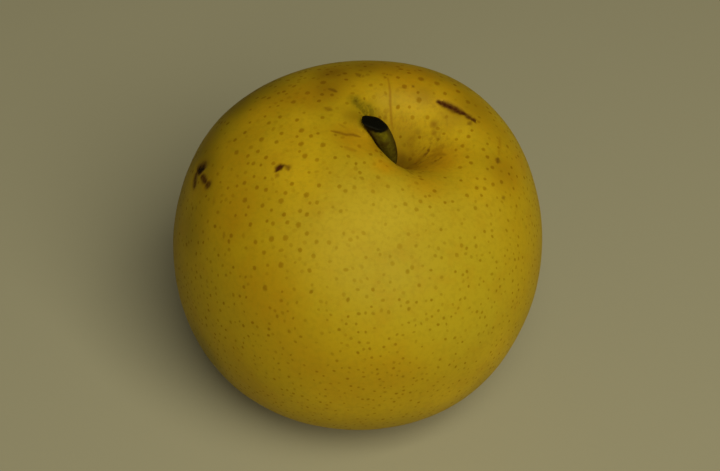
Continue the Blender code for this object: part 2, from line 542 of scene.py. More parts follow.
# %% The scratch, the scab and the comma
SCRATCH = (
    Mark(((438.2, 101.6), (447.3, 105.2), (456.3, 109.8), (465.2, 114.2)), 1.5, 0.2, 0.8),
    Mark(((466.2, 115), (469, 117), (471, 118.4)), 1.25, 0.1, 0.6, 0.85, 0.2),
    Mark(((472.2, 119.6), (474, 120.4)), 1.5, 0.12, 0.7, 0.9, 0.2),
    Mark(((471.6, 121.6), (470, 123), (468, 123.8)), 1.0, 0.06, 0.3, 0.6),
)
SCAB_AND_ITS_LEGS = (
    Mark(((198.2, 170.6), (200, 169.8), (201.6, 168.8)), 2.9, 0.15, 1.0, 1.0, 0.0),
    Mark(((202, 176.4), (203.6, 179.2), (205.4, 181.8)), 1.45, 0.08, 0.65, 0.9, 0.2),
    Mark(((207, 184.6), (208, 184.6)), 1.65, 0.1, 0.7, 0.9, 0.0),
    Mark(((195.8, 175), (194.8, 180), (194.4, 186)), 1.7, 0.08, 0.6, 0.85, 0.2),
    Mark(((202.6, 142.6), (203.2, 141.6)), 0.8, 0.15, 0.6, 0.8),
)
COMMA = (
    Mark(((276.1, 170.8), (277.6, 168.8), (280, 166.8), (283.2, 165.5)), 1.3, 0.15, 0.68),
    Mark(((285.6, 165.8), (288, 167.2), (288.4, 169.6)), 1.1, 0.06, 0.25, 0.8),
    Mark(((276, 175), (278, 175.8)), 1.1, 0.05, 0.15, 0.55),
)

# %% Russet lines and spots
HOLLOW_STREAKS = (
    Mark(((415, 163.6), (420, 158.6), (426, 153.8)), 1.1, 0.05, 0.15, 0.5),
    Mark(((432, 151.4), (438, 149), (444, 146.6)), 0.95, 0.03, 0.05, 0.5),
    Mark(((430, 155.8), (437, 154.2), (445, 154.6)), 0.95, 0.03, 0.05, 0.5),
    Mark(((411.4, 150), (410.8, 143), (412, 136)), 1.3, 0.03, 0.0, 0.3),
    Mark(((431.6, 125.6), (434.4, 123.6)), 1.2, 0.03, 0.0, 0.5),
    Mark(((433, 134), (435, 132.6)), 0.9, 0.03, 0.0, 0.45),
)
THIN_LINES = (
    Mark(((331.6, 131), (339, 132.4), (346, 134.6), (353, 134.4), (359.6, 136.8)), 0.75, 0.05, 0.14, 0.8),
    Mark(((344.6, 146.8), (349.6, 149), (355.4, 150.8)), 0.75, 0.03, 0.0, 0.5),
    Mark(((338.6, 123.6), (342.4, 125.6), (345.6, 128)), 0.4, 0.03, 0.0, 0.4),
    Mark(
        ((387.6, 77.6), (389, 83), (390, 91), (390.4, 105), (391.2, 118), (392.4, 128)),
        0.42, 0.04, 0.0, 0.75,
    ),
    Mark(((387, 74), (387.2, 74.8)), 0.7, 0.04, 0.25, 0.7),
)
RUSSET_SPECKS = (
    Mark(((328.6, 88.8), (333, 89.8), (336.4, 91.8)), 0.85, 0.04, 0.35, 0.7),
    Mark(((325.6, 107.8), (331, 110)), 1.2, 0.04, 0.2, 0.6),
    Mark(((356, 73.6), (359, 75), (361.4, 77)), 0.95, 0.05, 0.3, 0.65),
    Mark(((349.6, 67.8), (351, 68.4)), 0.7, 0.03, 0.2, 0.5),
    Mark(((412.6, 85.8), (413.6, 86.8)), 0.8, 0.05, 0.35, 0.75),
    Mark(((400, 166.4), (402, 167.6)), 0.6, 0.03, 0.1, 0.5),
    Mark(((405.6, 169.2), (409, 171.6), (412.8, 174.2)), 0.6, 0.03, 0.1, 0.6),
    Mark(((502.4, 198.4), (504.6, 196.8)), 0.75, 0.03, 0.25, 0.65),
    Mark(((498.2, 158.6), (498, 160.6), (497.4, 162.6)), 1.1, 0.04, 0.35, 0.85),
    Mark(((499.8, 137), (499.6, 146), (498.8, 155)), 0.6, 0.02, 0.0, 0.5),
    Mark(((224, 232.6), (223.4, 238)), 0.7, 0.03, 0.15, 0.55),
    Mark(((213.8, 197.6), (213.6, 204.6)), 0.55, 0.03, 0.1, 0.4),
)
MARKS = HOLLOW_STREAKS + SCRATCH + SCAB_AND_ITS_LEGS + COMMA + THIN_LINES + RUSSET_SPECKS
MARK_STEP = 0.4


# %% From pixels to points on the skin
def surface_of(piece):
    """A piece's faces, ready to be hit by rays."""
    mesh = bmesh.new()
    mesh.from_mesh(piece.data)
    surface = BVHTree.FromBMesh(mesh)
    mesh.free()
    return surface


skin_surface = surface_of(skin)


def seen_at(pixel, surface=skin_surface):
    """The point of a surface that a pixel of the picture shows."""
    found = surface.ray_cast(camera_place, pixel_direction(pixel))[0]
    if found is None:
        raise ValueError(f"pixel {tuple(pixel)} misses the surface")
    return found


def along_pixels(path):
    """Places along a path of pixels, evenly spaced, each with its share of the way."""
    pixels = [Vector(pixel) for pixel in path]
    legs = [(before, after, (after - before).length) for before, after in zip(pixels, pixels[1:])]
    total = sum(length for _, _, length in legs)
    gone = 0.0
    for before, after, length in legs:
        steps = max(1, round(length / MARK_STEP))
        for step in range(steps):
            part = step / steps
            yield before.lerp(after, part), (gone + part * length) / total
        gone += length
    yield pixels[-1], 1.0


# %% The marks as strings of points
def loose_points(name, places, numbers):
    """An object of loose points that keeps named numbers on each of them."""
    mesh = bpy.data.meshes.new(name)
    mesh.from_pydata(places, [], [])
    for key, values in numbers.items():
        attribute = mesh.attributes.new(key, "FLOAT", "POINT")
        attribute.data.foreach_set("value", values)
    points = bpy.data.objects.new(name, mesh)
    scene.collection.objects.link(points)
    return points


mark_places = []
mark_numbers = {"half_width": [], "depth": [], "dark": [], "plain": []}
for mark in MARKS:
    for pixel, way in along_pixels(mark.path):
        taper = 1.0 - mark.taper * abs(2.0 * way - 1.0) ** 3
        mark_places.append(seen_at(pixel))
        mark_numbers["half_width"].append(mark.half_width * MM * taper)
        mark_numbers["depth"].append(mark.depth * MM * taper)
        mark_numbers["dark"].append(mark.dark)
        mark_numbers["plain"].append(mark.plain)
mark_points = loose_points("mark_points", mark_places, mark_numbers)
print(len(MARKS), "marks are", len(mark_places), "points on the skin")


# %% Finer faces near the marks
def refine_near_marks(mesh, rounds=2, margin=0.8 * MM):
    """Split the skin's edges near the marks, because its faces are as wide as a scratch."""
    tree = KDTree(len(mark_places))
    for index, place in enumerate(mark_places):
        tree.insert(place, index)
    tree.balance()
    fine = bmesh.new()
    fine.from_mesh(mesh)
    for _ in range(rounds):
        chosen = []
        for edge in fine.edges:
            middle = (edge.verts[0].co + edge.verts[1].co) / 2.0
            _, index, distance = tree.find(middle)
            if distance < 1.5 * mark_numbers["half_width"][index] + margin:
                chosen.append(edge)
        bmesh.ops.subdivide_edges(fine, edges=chosen, cuts=1, use_grid_fill=True)
        margin *= 0.5
    fine.to_mesh(mesh)
    fine.free()
    print("the skin now has", len(mesh.polygons), "faces")


refine_near_marks(skin.data)

# %% Press the marks in
RAGGED_PATCH = 1.1 * MM
RAGGED_REACH = 0.12 * MM
HEALED_EDGE = 0.12
PRESSED_GRAIN = 0.7 * MM
WOUND_BLUR = 2
TONE_BLUR = 8


def press_marks(skin_mesh, points, material):
    """Sink the skin at each mark, raise a healed edge round it, and keep how much of a wound it is."""
    bench = GeometryBench("press_marks")
    marks = bench.points_of(bench.ask("Marks", points))
    here = wander(bench.place(), RAGGED_PATCH, bench.ask("Raggedness", RAGGED_REACH))
    sockets = {"Geometry": marks, "Sample Position": here}
    nearest = bench.node("GeometryNodeSampleNearest", {}, sockets)["Index"]

    def sampled(value, kind):
        sockets = {"Geometry": marks, "Value": value, "Index": nearest}
        return bench.node("GeometryNodeSampleIndex", {"data_type": kind}, sockets)["Value"]

    distance = distance_between(here, sampled(bench.place(), "FLOAT_VECTOR"))
    ratio = distance / sampled(bench.kept("half_width"), "FLOAT")
    inside = ease(ratio, 0.1, 1.2, 1.0, 0.0)
    edge = ease(ratio, 0.8, 1.3) * ease(ratio, 1.4, 2.4, 1.0, 0.0)
    grain = noise(bench.place(), PRESSED_GRAIN) - 0.5
    depth = sampled(bench.kept("depth"), "FLOAT")
    shift = depth * (edge * HEALED_EDGE - inside * (grain + 1.0))

    def blurred(value, rounds):
        sockets = {"Value": value, "Iterations": rounds}
        return bench.node("GeometryNodeBlurAttribute", {"data_type": "FLOAT"}, sockets)["Value"]

    skin_geometry = bench.store(bench.entry["Geometry"], "wound", blurred(inside, WOUND_BLUR))
    for name in ("dark", "plain"):
        even = blurred(sampled(bench.kept(name), "FLOAT"), TONE_BLUR)
        skin_geometry = bench.store(skin_geometry, name, even)
    pressed = bench.move(skin_geometry, Offset=scaled(bench.normal(), shift))
    bench.finish(bench.smooth(pressed), material)
    return bench.run("pear_skin", skin_mesh)


plain_skin = skin
skin = press_marks(plain_skin.data, mark_points, pear_skin_finish)
bpy.data.objects.remove(plain_skin)
bpy.data.objects.remove(mark_points)
skin.name = "pear_skin"

# %% [markdown]
# ## Colour of the skin
# The skin is a deep golden yellow that drifts between orange where the sun reached it and olive where it
# did not. All of it is worked out from the place on the pear: broad noise for the drift, soft patches where
# the picture shows a blush, and rings and streaks counted from the stalk's seat and from the scar. Some
# patches paint light instead: a painted highlight on the lit front, painted light in the crease by the
# stalk, painted shade along the rims and in the hollow, and a painted shadow of the stalk and by its foot.
# The lenticels need the same colour at their rims, so it is a function that both finishes call.

# %% Colours, as light that each returns
GOLD = (0.468, 0.322, 0.007)
# the pale gold is the colour of a painted highlight
HIGHLIGHT_GOLD = (0.550, 0.412, 0.028)
# the warm gold is partly the skin's tone and partly painted light
WARM_LIT_GOLD = (0.575, 0.388, 0.010)
ORANGE = (0.430, 0.236, 0.004)
AMBER = (0.560, 0.315, 0.006)
OLIVE = (0.290, 0.215, 0.006)
LIME = (0.455, 0.345, 0.013)
# umber and dusk are partly painted shade along the rims
RIM_SHADE_UMBER = (0.250, 0.138, 0.003)
RIM_SHADE_DUSK = (0.240, 0.160, 0.003)
# painted shadow colour, for the shadow between the stalk and the near lip
SEAT_SHADOW_BROWN = (0.100, 0.055, 0.001)
# a dark green that is partly a painted shadow of the stalk
GREEN_AND_STALK_SHADOW = (0.200, 0.148, 0.004)
# partly russet and partly painted shade deep in the hollow
FUNNEL_SHADE_BROWN = (0.255, 0.145, 0.005)
RUSSET = (0.250, 0.130, 0.006)
HEALED = (0.300, 0.150, 0.003)
SCAR_BROWN = (0.160, 0.075, 0.002)
RUST_RED = (0.066, 0.016, 0.001)
CHAR = (0.016, 0.006, 0.001)
CORK = (0.150, 0.095, 0.045)

# %% Sizes of the colour's parts: a ring fades between two radii, and streaks have a number and a length
DRIFT = 24.0 * MM
MOTTLE = 5.0 * MM
MOTTLE_BEND = (3.0 * MM, 1.0 * MM)
FINE_MOTTLE = 1.1 * MM
FUNNEL_SHADE = (3.5 * MM, 9.0 * MM)
FUNNEL_START = (2.0 * MM, 5.0 * MM)
FUNNEL_END = (9.0 * MM, 16.0 * MM)
FUNNEL_STREAKS = (40.0, 6.0 * MM)
SEAT_CORK = (2.5 * MM, 5.0 * MM)
BASIN_STREAKS = (26.0, 24.0 * MM)
BASIN_RING = (6.0 * MM, 13.0 * MM)
SCAR_RUSSET = (3.6 * MM, 6.0 * MM)
SCAR_CORK = (2.6 * MM, 3.8 * MM)

# %% How strong the colour's parts are, from 0 to 1
ORANGE_DRIFT = 0.4
OLIVE_DRIFT = 0.25
ORANGE_MOTTLE = 0.25
OLIVE_MOTTLE = 0.26
# how strong the painted shade in the hollow is
FUNNEL_SHADE_STRENGTH = 0.46
HAZE_WASH = 0.22
HAZE_FLECKS = 0.5
WALL_FLECKS = 0.32
BASIN_LINES = 0.7
SCAR_RING = 0.85

# %% Soft patches: pixel, radius in mm, and strength
BLUSHES = (
    ((263, 293), 14, 0.6), ((230, 215), 11, 0.6), ((300, 355), 13, 0.4), ((350, 385), 12, 0.35),
    ((432, 165), 7, 0.25), ((345, 135), 6, 0.6), ((293, 95), 12, 0.5), ((435, 85), 10, 0.5),
    ((466, 100), 9, 0.45), ((505, 180), 8, 0.4), ((371, 146), 4, 0.7), ((206, 185), 9, 0.4),
    ((238, 152), 12, 0.5), ((246, 196), 12, 0.3), ((320, 95), 10, 0.5), ((352, 82), 9, 0.5),
    ((402, 76), 10, 0.8), ((492, 130), 9, 0.4), ((360, 142), 7, 0.5), ((424, 72), 7, 0.5),
    ((282, 94), 8, 0.25), ((512, 172), 8, 0.4), ((519, 160), 6, 0.5),
)
# olive on the left and lower-left rims: partly the skin's olive, partly painted shade
OLIVE_AND_SHADE_TINTS = (((193, 230), 9, 0.5), ((205, 350), 12, 0.9), ((232, 384), 8, 0.4), ((318, 110), 9, 0.15))
# painted highlight: pale gold patches on the lit front stand for the broad soft shine of the wax
PAINTED_HIGHLIGHTS = (((360, 222), 23, 0.8), ((467, 220), 18, 0.5), ((410, 212), 14, 0.4))
# warm gold patches: partly the skin's tone, partly painted light lifting the shaded crease beside the stalk
WARM_AND_LIT_PATCHES = (
    ((430, 108), 8, 0.9), ((452, 130), 6, 0.6), ((292, 150), 14, 1.0), ((302, 116), 6, 0.8),
    ((300, 186), 10, 0.6), ((402, 116), 6, 1.0), ((430, 142), 8, 1.0), ((446, 162), 9, 0.8),
    ((330, 408), 12, 0.6), ((450, 398), 13, 0.8), ((504, 356), 10, 0.8), ((390, 408), 10, 0.3),
    ((345, 120), 5, 0.4), ((474, 186), 8, 0.6), ((404, 164), 5, 1.0), ((424, 166), 7, 1.0),
    ((460, 142), 8, 0.6), ((280, 404), 10, 0.5), ((494, 352), 10, 0.9),
)
AMBER_PATCHES = (
    ((424, 166), 9, 1.0), ((406, 168), 6, 0.9), ((446, 160), 8, 0.7), ((390, 166), 5, 0.7),
    ((360, 142), 6, 0.4), ((404, 70), 9, 0.5), ((380, 64), 8, 0.4), ((258, 114), 9, 0.4),
    ((426, 184), 8, 0.6), ((380, 166), 4, 0.5),
)
LIME_TINTS = (
    ((455, 270), 24, 0.8), ((470, 320), 22, 0.8), ((392, 292), 18, 0.6), ((340, 300), 16, 0.35),
)
# umber patches along the top rim and by the hollow: partly browner skin, partly painted shade
TOP_RIM_SHADE = (
    ((330, 80), 8, 0.6), ((354, 68), 8, 0.55), ((380, 66), 8, 0.45), ((405, 70), 7, 0.25),
    ((432, 74), 7, 0.25), ((458, 84), 7, 0.3), ((475, 108), 8, 0.55), ((503, 168), 7, 0.35),
    ((352, 116), 4, 0.5), ((326, 93), 5, 0.45), ((328, 71), 6, 0.5), ((424, 95), 4, 0.45),
    ((450, 119), 5, 0.35), ((498, 132), 6, 0.2),
)
# dusky patches along the upper-left rim: partly the skin's tone, partly painted shade
LEFT_RIM_SHADE = (
    ((254, 93), 14, 0.65), ((231, 114), 10, 0.45), ((206, 148), 10, 0.65), ((205, 172), 8, 0.55),
    ((206, 198), 7, 0.3),
)
# green up and left of the stalk's end: partly green skin, partly a painted shadow of the stalk
GREEN_AND_SHADOW_TINTS = (
    ((369, 115.6), 3.2, 0.9), ((364, 110), 3.6, 0.9), ((358, 103), 3.2, 0.7), ((372, 110), 3, 0.6),
    ((354, 98.6), 2.6, 0.4), ((380, 118.6), 2.6, 0.4), ((408, 160), 3, 0.3),
)
RUSSET_HAZE = (
    ((436, 150), 5, 0.7), ((425, 155), 4, 0.9), ((415, 161), 3.5, 0.9), ((409, 148), 4, 0.5),
    ((434, 160), 4, 0.5),
)
# painted shadow: deep brown between the stalk's foot and the near lip
PAINTED_SEAT_SHADOW = (((398.6, 159.6), 3.2, 0.5), ((404, 162), 3, 0.3), ((411, 163.4), 3, 0.25))
RUSSET_SPOTS = (((434, 124), 1.8, 0.8), ((434.5, 133), 1.5, 0.6), ((418, 132), 1.4, 0.5))


def patch_mask(place, patches, surface=skin_surface):
    """How much of a place lies in any of the soft patches."""
    total = 0.0
    for pixel, radius, strength in patches:
        away = distance_between(place, seen_at(pixel, surface))
        total = ease(away, 0.1 * radius * MM, radius * MM, strength, 0.0) + total
    return smaller(total, 1.0)


# %% Rings round the two ends of the core
def core_rings(bench, place):
    """Distances from the stalk's seat and from the scar, across the core, and the turns about them."""
    sockets = {"Vector": place, "Location": core, "Rotation": lean_matrix().to_euler()}
    upright = bench.node("ShaderNodeMapping", {"vector_type": "TEXTURE"}, sockets)["Vector"]
    x, y, z = bench.split(upright)
    seat_x = x - STALK_END_OFFSET.x
    seat_y = y - STALK_END_OFFSET.y
    from_seat = root(seat_x * seat_x + seat_y * seat_y)
    scar_x = x - CALYX_END_OFFSET.x
    from_scar = root(scar_x * scar_x + y * y)
    turn = arctangent(seat_y, seat_x)
    base_turn = arctangent(y, scar_x)
    return from_seat, from_scar, turn, base_turn, z > 0.0


def streaks(radius, turn, count, length):
    """Ragged lines that run out from the core: noise that is stretched along the radius."""
    spot = radius.bench.join(cosine(turn), sine(turn), radius / length)
    return grainy(spot, math.tau / count)


# %% The ground colour
def ground_colour(place, mottle, fine):
    """Gold that drifts to orange and olive, with a fine mottle, a painted highlight, and painted light and
    shade.
    """
    drift = noise(place, DRIFT)
    orange = patch_mask(place, BLUSHES) * ease(mottle, 0.25, 0.7, 0.7, 1.0)
    orange = larger(orange, ease(drift, 0.52, 0.75) * ORANGE_DRIFT)
    olive = patch_mask(place, OLIVE_AND_SHADE_TINTS) * ease(drift, 0.3, 0.6, 0.5, 1.0)
    olive = larger(olive, ease(drift, 0.45, 0.2) * OLIVE_DRIFT)
    # some rows paint light: the pale patches are a painted highlight, the warm ones are partly painted light,
    # and the olive and rim rows are partly painted shade
    tones = (
        (patch_mask(place, PAINTED_HIGHLIGHTS), HIGHLIGHT_GOLD),
        (patch_mask(place, WARM_AND_LIT_PATCHES), WARM_LIT_GOLD),
        (orange, ORANGE),
        (patch_mask(place, AMBER_PATCHES), AMBER),
        (olive, OLIVE),
        (patch_mask(place, LIME_TINTS), LIME),
        (patch_mask(place, TOP_RIM_SHADE), RIM_SHADE_UMBER),
        (patch_mask(place, LEFT_RIM_SHADE), RIM_SHADE_DUSK),
        (ease(mottle, 0.45, 0.75) * ORANGE_MOTTLE, ORANGE),
        (ease(fine, 0.4, 0.75) * OLIVE_MOTTLE, OLIVE),
    )
    colour = GOLD
    for mask, tone in tones:
        colour = mix(mask, colour, tone)
    return colour


# %% The hollow round the stalk, and the basin below
def hollow_colour(place, colour, from_seat, turn, top, mottle):
    """Green, russet, painted shade in the funnel and a painted shadow by the lip; how corky it is comes
    second.
    """
    lines = streaks(from_seat, turn, *FUNNEL_STREAKS)
    # green near the stalk's end, partly a painted shadow of the stalk
    green = patch_mask(place, GREEN_AND_SHADOW_TINTS) * ease(lines, 0.3, 0.6, 0.5, 1.0)
    colour = mix(green * top, colour, GREEN_AND_STALK_SHADOW)
    # painted shade: the funnel darkens towards the stalk's seat, in a brown that is partly russet
    deep = ease(from_seat, *FUNNEL_SHADE, 1.0, 0.0) * top
    colour = mix(deep * FUNNEL_SHADE_STRENGTH, colour, FUNNEL_SHADE_BROWN)
    wall = ease(from_seat, *FUNNEL_END, 1.0, 0.0) * ease(from_seat, *FUNNEL_START)
    haze = patch_mask(place, RUSSET_HAZE)
    flecked = wall * (haze * HAZE_FLECKS + WALL_FLECKS)
    flecks = ease(lines, 0.46, 0.66) * ease(mottle, 0.35, 0.6) * flecked
    spots = patch_mask(place, RUSSET_SPOTS) * ease(mottle, 0.3, 0.6, 0.4, 0.8)
    russet = larger(haze * HAZE_WASH + flecks, spots) * top
    seat = ease(from_seat, *SEAT_CORK, 1.0, 0.0) * top
    russet = larger(russet, seat * ease(mottle, 0.2, 0.6, 0.5, 0.95))
    # painted shadow between the stalk's foot and the near lip
    colour = mix(patch_mask(place, PAINTED_SEAT_SHADOW), colour, SEAT_SHADOW_BROWN)
    return colour, russet


def basin_russet(from_scar, base_turn, base):
    """Ragged russet lines in the basin and a solid ring of it round the scar."""
    lines = streaks(from_scar, base_turn, *BASIN_STREAKS)
    basin = ease(from_scar, *BASIN_RING, 1.0, 0.0) * base
    ring = ease(from_scar, *SCAR_RUSSET, 1.0, 0.0) * base
    return larger(basin * ease(lines, 0.45, 0.62) * BASIN_LINES, ring * SCAR_RING)


# %% The colour at any place of the skin
def skin_colour(bench):
    """The place, the skin's colour there with its painted light and shade, and how corky it is."""
    place = bench.node("ShaderNodeTexCoord")["Object"]
    from_seat, from_scar, turn, base_turn, top = core_rings(bench, place)
    mottle = grainy(wander(place, *MOTTLE_BEND), MOTTLE)
    fine = grainy(place, FINE_MOTTLE)
    colour = ground_colour(place, mottle, fine)
    colour, russet = hollow_colour(place, colour, from_seat, turn, top, mottle)
    base = 1.0 - top
    russet = larger(russet, basin_russet(from_scar, base_turn, base))
    colour = mix(russet, colour, RUSSET)
    scar = ease(from_scar, *SCAR_CORK, 1.0, 0.0) * base
    colour = mix(scar, colour, mix(ease(fine, 0.35, 0.7), CORK, CHAR))
    return place, colour, larger(russet, scar)


# %% [markdown]
# ## The skin's finish
# A nashi's skin has a thin coat of wax over fine pores, so its shine is broad and soft. The colour comes
# from the function above, with the wounds laid over it: rust red at their rims, and charred brown where they
# are deepest. A little light scatters below the skin, which keeps the shaded side from looking painted.

# %% Numbers of the skin's finish
SKIN_ROUGHNESS = 0.5
DRY_ROUGHNESS = 0.82
SHINE = {"Specular IOR Level": 0.12}
SCATTER = {"Subsurface Weight": 0.12, "Subsurface Radius": (1.0, 0.6, 0.1), "Subsurface Scale": 1.6 * MM}
PORE = 0.32 * MM
DIMPLE = 2.2 * MM
CRACK = 0.45 * MM
PORE_HEIGHT, DIMPLE_HEIGHT, CRACK_HEIGHT = 0.10, 0.35, 1.1
SKIN_RELIEF = 0.08 * MM
WAX_PATCH = 4.0 * MM
WAX_CHANGE = 0.12
WOUND_GRAIN = 0.8 * MM
WOUND_RAGGEDNESS = 0.6


# %% A shader with its relief
def shader_bench(material):
    """A bench for a material, whose tree is emptied first."""
    material.use_nodes = True
    material.node_tree.nodes.clear()
    return Bench(material.node_tree)


def connect_shader(bench, sockets):
    shader = bench.node("ShaderNodeBsdfPrincipled", {}, sockets)
    bench.node("ShaderNodeOutputMaterial", {}, {"Surface": shader["BSDF"]})


def lay_finish(bench, colour, roughness, relief, relief_depth, even):
    """Colour, roughness and relief change over the piece; what is even is the same all over it."""
    bump = bench.node("ShaderNodeBump", {}, {"Distance": relief_depth, "Height": relief})
    changing = {"Base Color": colour, "Roughness": roughness, "Normal": bump["Normal"]}
    connect_shader(bench, {**changing, **even})
    print("this finish has", len(bench.tree.nodes), "nodes")


def kept_number(bench, name):
    """A number that the geometry tree kept on the mesh."""
    return bench.node("ShaderNodeAttribute", {"attribute_name": name})["Fac"]


# %% The wounds over the skin's colour
def wound_colour(bench, place, skin_tone):
    """The skin's colour with the marks over it, and how much of a wound a place is."""
    wound = kept_number(bench, "wound")
    grain = grainy(place, WOUND_GRAIN) - 0.5
    inside = wound + grain * ease(wound, 0.0, 0.5) * WOUND_RAGGEDNESS
    stage = inside * kept_number(bench, "dark")
    tone = mix(ease(stage, 0.0, 0.3), HEALED, SCAR_BROWN)
    tone = mix(ease(stage, 0.3, 0.6), tone, RUST_RED)
    tone = mix(ease(stage, 0.75, 1.0), tone, CHAR)
    inside = inside * kept_number(bench, "plain")
    return mix(inside, skin_tone, tone), inside


# %% Finish the skin
def finish_skin(material):
    bench = shader_bench(material)
    place, colour, corky = skin_colour(bench)
    colour, wound = wound_colour(bench, place, colour)
    dry = larger(wound, corky)
    waxy = noise(place, WAX_PATCH) * WAX_CHANGE + SKIN_ROUGHNESS
    pores = noise(place, PORE, 2.0, 0.6)
    dimples = noise(place, DIMPLE, 1.0)
    cracks = noise(place, CRACK, 3.0, 0.7) * dry
    relief = pores * PORE_HEIGHT + dimples * DIMPLE_HEIGHT + cracks * CRACK_HEIGHT
    roughness = larger(waxy, dry * DRY_ROUGHNESS)
    lay_finish(bench, colour, roughness, relief, SKIN_RELIEF, {**SHINE, **SCATTER})


finish_skin(pear_skin_finish)
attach(skin, "root")
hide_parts("fruit")

# %% [markdown]
# ## Lenticels
# Lenticels are the pores that the fruit breathes through. Each is a low, corky, brown dot. They are up to
# 2.4 mm across and loosely scattered over the shoulder by the stalk, and finer and closer towards the base.
# Those that the picture shows best are placed one by one. The other thousands are a job for Geometry Nodes:
# scatter points over the skin with a least gap, and lay a low lens on each, bent to the skin. A lens stands
# out only 0.02 mm, and its rim takes the skin's own colour, so it has a soft edge.

# %% Lenticels that the picture shows best, as pixels, by their radius in mm
PLACED_LENTICELS = {
    1.20: ((323, 82.5), (421, 79), (437, 83.5)),
    1.02: (
        (301.5, 130.5), (261.5, 139.5), (301, 144), (323, 145), (236.5, 152.5), (305, 156), (306.5, 195),
        (245, 200), (281, 201), (293.5, 102), (307.5, 93), (404.5, 86.5), (458, 91.5), (468, 102),
        (419, 100), (271.5, 239), (285.5, 238), (265, 288), (281, 265), (298.5, 225), (399.5, 246.5),
    ),
    0.80: (
        (269, 123), (297, 120), (281.5, 133.5), (311, 136), (276.5, 142), (258, 151.5), (248, 156),
        (266, 157.5), (317, 160), (253.5, 163.5), (273.5, 163.5), (292, 184), (266, 190), (257, 187.5),
        (244.5, 183), (285.5, 193), (262.5, 205.5), (300, 211), (284, 214.5), (317, 202.5), (307, 214.5),
        (322.5, 117.5), (322, 94.5), (319, 101), (332, 95), (319, 185.5), (398, 77.5), (455, 85),
        (445, 93.5), (398, 107), (427.5, 117.5), (412.5, 117.5), (468.5, 136.5), (462.5, 146),
        (483.5, 149.5), (467.5, 157), (487.5, 157), (471, 163), (492.5, 167.5), (460, 167.5),
        (250.5, 224.5), (273, 223.5), (287.5, 222.5), (255.5, 242), (264, 252.5), (307, 233.5),
        (316.5, 242), (329, 242.5), (313.5, 256), (300, 250), (254.5, 268), (388, 186.5), (405.5, 204),
        (420.5, 201.5), (416.5, 209.5), (434.5, 191), (373, 191.5), (354.5, 187.5), (392.5, 263.5),
        (407.5, 271.5), (412, 267.5), (345.5, 191), (339.5, 186.5), (245, 132.5), (235, 140), (280, 117),
        (501.5, 182), (493, 184.5), (467, 195.5), (476.5, 188), (507.5, 146.5), (484.5, 188.5),
    ),
    0.60: (
        (265, 116.5), (250, 122.5), (297, 136.5), (318, 133.5), (299.5, 151.5), (261, 165), (309, 172.5),
        (254, 176.5), (265, 178), (237, 186), (228, 188), (248, 163.5), (248.5, 207), (271.5, 210),
        (310, 203), (235.5, 215.5), (246, 215), (267, 221), (418, 92.5), (409.5, 107), (456.5, 139.5),
        (456, 150), (461, 180.5), (477, 178.5), (485, 179), (487.5, 144), (402.5, 189.5), (373.5, 204.5),
        (429.5, 196), (425.5, 196.5), (430, 207), (416, 246), (366, 257.5), (378, 249.5), (380, 254.5),
        (390, 256.5), (385.5, 224.5), (395.5, 206.5), (441, 229.5), (336.5, 248), (472, 130.5),
        (481.5, 195.5), (487, 205.5), (452.5, 201.5), (445, 202.5), (511.5, 167.5), (509, 174),
        (513.5, 188.5), (487.5, 169), (516.5, 206), (498.5, 147.5), (517, 176.5),
    ),
}
placed_places = []
placed_radii = []
for dot_radius, pixels in PLACED_LENTICELS.items():
    for pixel in pixels:
        placed_places.append(seen_at(pixel))
        placed_radii.append(dot_radius * MM)
placed_points = loose_points("placed_lenticels", placed_places, {"lens_radius": placed_radii})
print(len(placed_places), "lenticels are placed one by one")

# %% Sizes of the others
LENS_SIDES = 9
LENS_RINGS = 2
LENS_SUNK = 0.15
LENS_STEEPNESS = 0.02
LEAST_GAP = 1.25 * MM
MOST_PER_AREA = 0.4 / MM ** 2
COARSE_RADIUS = 0.74 * MM
FINE_RADIUS = 0.5 * MM
COARSE_PIXEL = (330, 115)
FAINT_PIXEL = (375, 228)
FAINT_REACH = 20.0 * MM
PLACED_MARGIN = 1.3 * MM
PLACED_QUIET = 4.0 * MM
SPOT_MARGIN = 1.2 * MM
PATCHINESS = 9.0 * MM
SEED = 11

# %% How much the lenticels differ, and their cork
COARSE_FACING = (-0.1, 0.95)
SIZE_RANGE = (0.7, 1.2)
STRETCH_RANGE = (0.8, 1.15)
SMALL_STRENGTHS = (0.4, 1.0)
PLACED_STRENGTHS = (0.8, 1.0)
STRENGTH_BY_PLACED = 0.35
FAINTEST = 0.55
RAGGED_RIM = 0.5 * MM
RIM_RAGGEDNESS = 0.6
CORK_DRYNESS = 0.3
LENTICEL_GRAIN = 0.2 * MM
LENTICEL_RELIEF = 0.02 * MM
LENTICEL_TINT = (0.66, 0.55, 0.08)


# %% One lens
def lenticel_lens(bench):
    """A disc with a radius of 1. Its crown says how far a point stands out: less than 0 at the rim."""
    settings = {"fill_type": "TRIANGLE_FAN"}
    sockets = {
        "Vertices": bench.ask("Lens Sides", LENS_SIDES),
        "Side Segments": LENS_RINGS,
        "Radius Top": 0.0,
        "Radius Bottom": 1.0,
        "Depth": 1.0,
    }
    cone = bench.node("GeometryNodeMeshCone", settings, sockets)["Mesh"]
    x, y, z = bench.split(bench.place())
    across = root(x * x + y * y)
    underside = 1.0 - z - across
    lens = bench.store(cone, "crown", 1.0 - LENS_SUNK - across * across - underside)
    return bench.smooth(bench.smooth(lens), bench.kept("crown") > -0.5 * LENS_SUNK, "EDGE")


def random_number(bench, low, high, seed):
    sockets = {2: low, 3: high, "Seed": seed}
    return bench.node("FunctionNodeRandomValue", {"data_type": "FLOAT"}, sockets)[1]


def clearness(bench):
    """Lenticels are fainter on the pale front of the pear."""
    from_faint = distance_between(bench.place(), seen_at(FAINT_PIXEL))
    return ease(from_faint, 0.2 * FAINT_REACH, FAINT_REACH, FAINTEST, 1.0)


